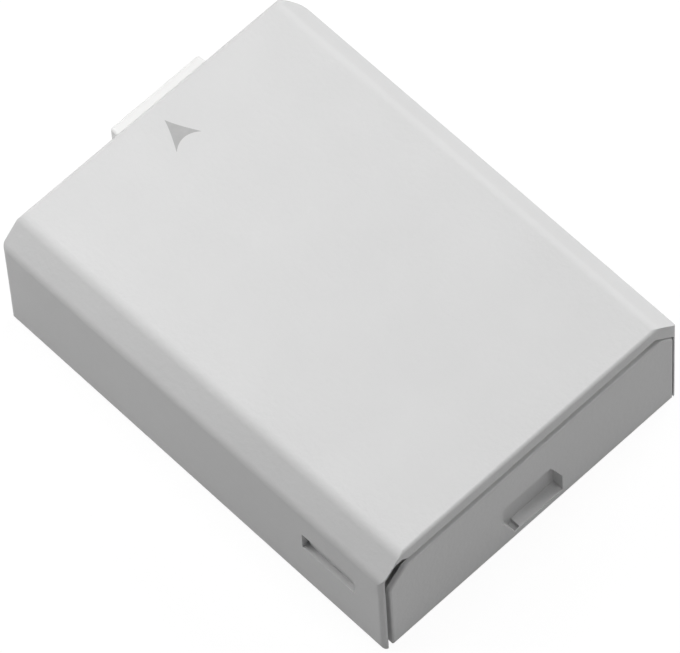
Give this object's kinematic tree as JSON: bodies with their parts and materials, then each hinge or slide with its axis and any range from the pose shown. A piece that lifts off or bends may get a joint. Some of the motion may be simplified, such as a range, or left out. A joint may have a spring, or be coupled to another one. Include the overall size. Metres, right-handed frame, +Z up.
{
  "type": "camera battery",
  "caption": "Flat rechargeable camera battery: a light grey moulded case with chamfered long edges, snap-in rear panel with latch pocket, slotted contact block, cells and protection board.",
  "frame": {"origin": "middle of the overall length and width, on the plane of the base", "axes": "+X along the length from the contact end to the rear end, +Y across the width, +Z up from the base to the top"},
  "size_m": [0.049, 0.0362, 0.0147],
  "materials": {
    "case_plastic": "fine matt moulding texture",
    "lower_case_plastic": "fine matt moulding texture",
    "block_plastic": "satin moulding",
    "contact_gold": "gold plate",
    "board_laminate": "green solder resist on glass laminate",
    "chip_moulding": "black moulding compound",
    "thermistor_ceramic": "fired ceramic with tinned ends",
    "resistor_ceramic": "glazed film on fired ceramic with tinned ends",
    "capacitor_ceramic": "fired ceramic with tinned ends",
    "cell_can": "drawn can, satin",
    "adhesive_tape": "double-sided film tape",
    "foam": "closed-cell foam",
    "insulating_card": "pressed insulating board",
    "nickel_strip": "rolled nickel",
    "cutoff_moulding": "black moulding"
  },
  "bodies": {
    "root": {"upper_case": "case_plastic", "lower_case": "lower_case_plastic", "contact_block": "block_plastic", "positive_contact": "contact_gold", "data_contact": "contact_gold", "thermistor_contact": "contact_gold", "negative_contact": "contact_gold", "protection_board": "board_laminate", "protection_chip": "chip_moulding", "mosfet_pair": "chip_moulding", "thermistor": "thermistor_ceramic", "chip_resistors": "resistor_ceramic", "chip_capacitors": "capacitor_ceramic", "upper_cell": "cell_can", "lower_cell": "cell_can", "cell_tape": "adhesive_tape", "base_tape": "adhesive_tape", "top_foam": "foam", "rear_foam": "foam", "insulator_card": "insulating_card", "positive_strip": "nickel_strip", "series_strip": "nickel_strip", "negative_strip": "nickel_strip", "thermal_cutoff": "cutoff_moulding", "cutoff_lead": "nickel_strip"}
  },
  "joints": []
}
